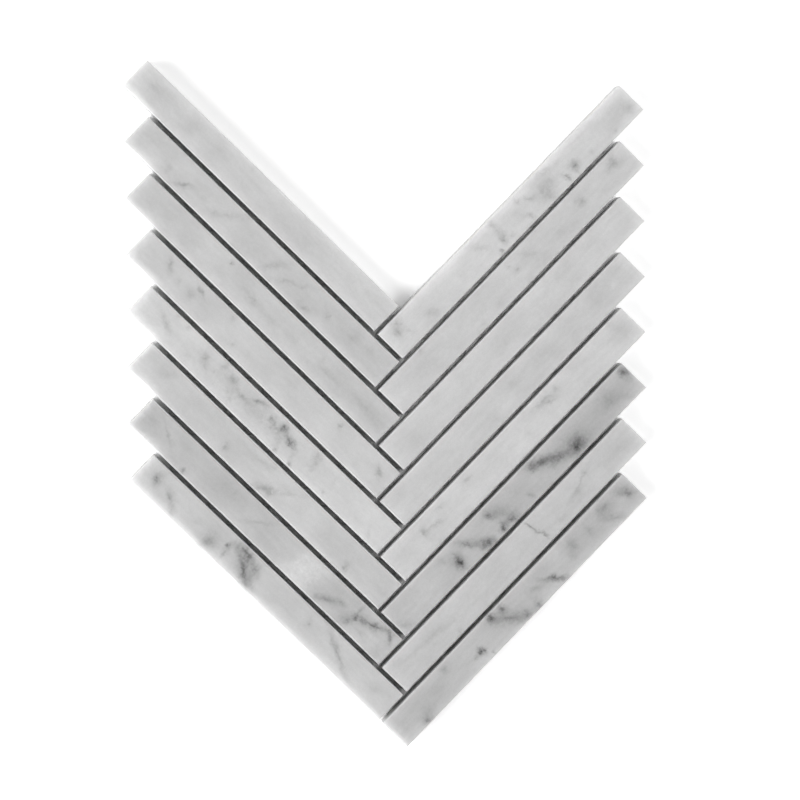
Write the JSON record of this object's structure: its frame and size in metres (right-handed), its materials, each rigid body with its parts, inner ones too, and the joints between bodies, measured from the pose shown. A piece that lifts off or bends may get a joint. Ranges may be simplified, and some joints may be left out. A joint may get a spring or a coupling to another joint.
{
  "type": "herringbone marble mosaic sheet",
  "caption": "Mosaic sheet of sawn grey-white marble strips laid in a herringbone V on an open glass-fibre mesh, to be bedded on a wall or floor and grouted.",
  "frame": {"origin": "middle of the sheet's outline, on the underside of the mesh", "axes": "+X across the sheet, +Y up the V from its point to its open notch, +Z out of the polished faces"},
  "size_m": [0.2242, 0.297, 0.0105],
  "materials": {
    "marble": "satin",
    "glass_mesh": "matte"
  },
  "bodies": {
    "root": {"left_strip_1": "marble", "left_strip_2": "marble", "left_strip_3": "marble", "left_strip_4": "marble", "left_strip_5": "marble", "left_strip_6": "marble", "left_strip_7": "marble", "left_strip_8": "marble", "right_strip_1": "marble", "right_strip_2": "marble", "right_strip_3": "marble", "right_strip_4": "marble", "right_strip_5": "marble", "right_strip_6": "marble", "right_strip_7": "marble", "right_strip_8": "marble", "mesh_left": "glass_mesh", "mesh_right": "glass_mesh"}
  },
  "joints": []
}
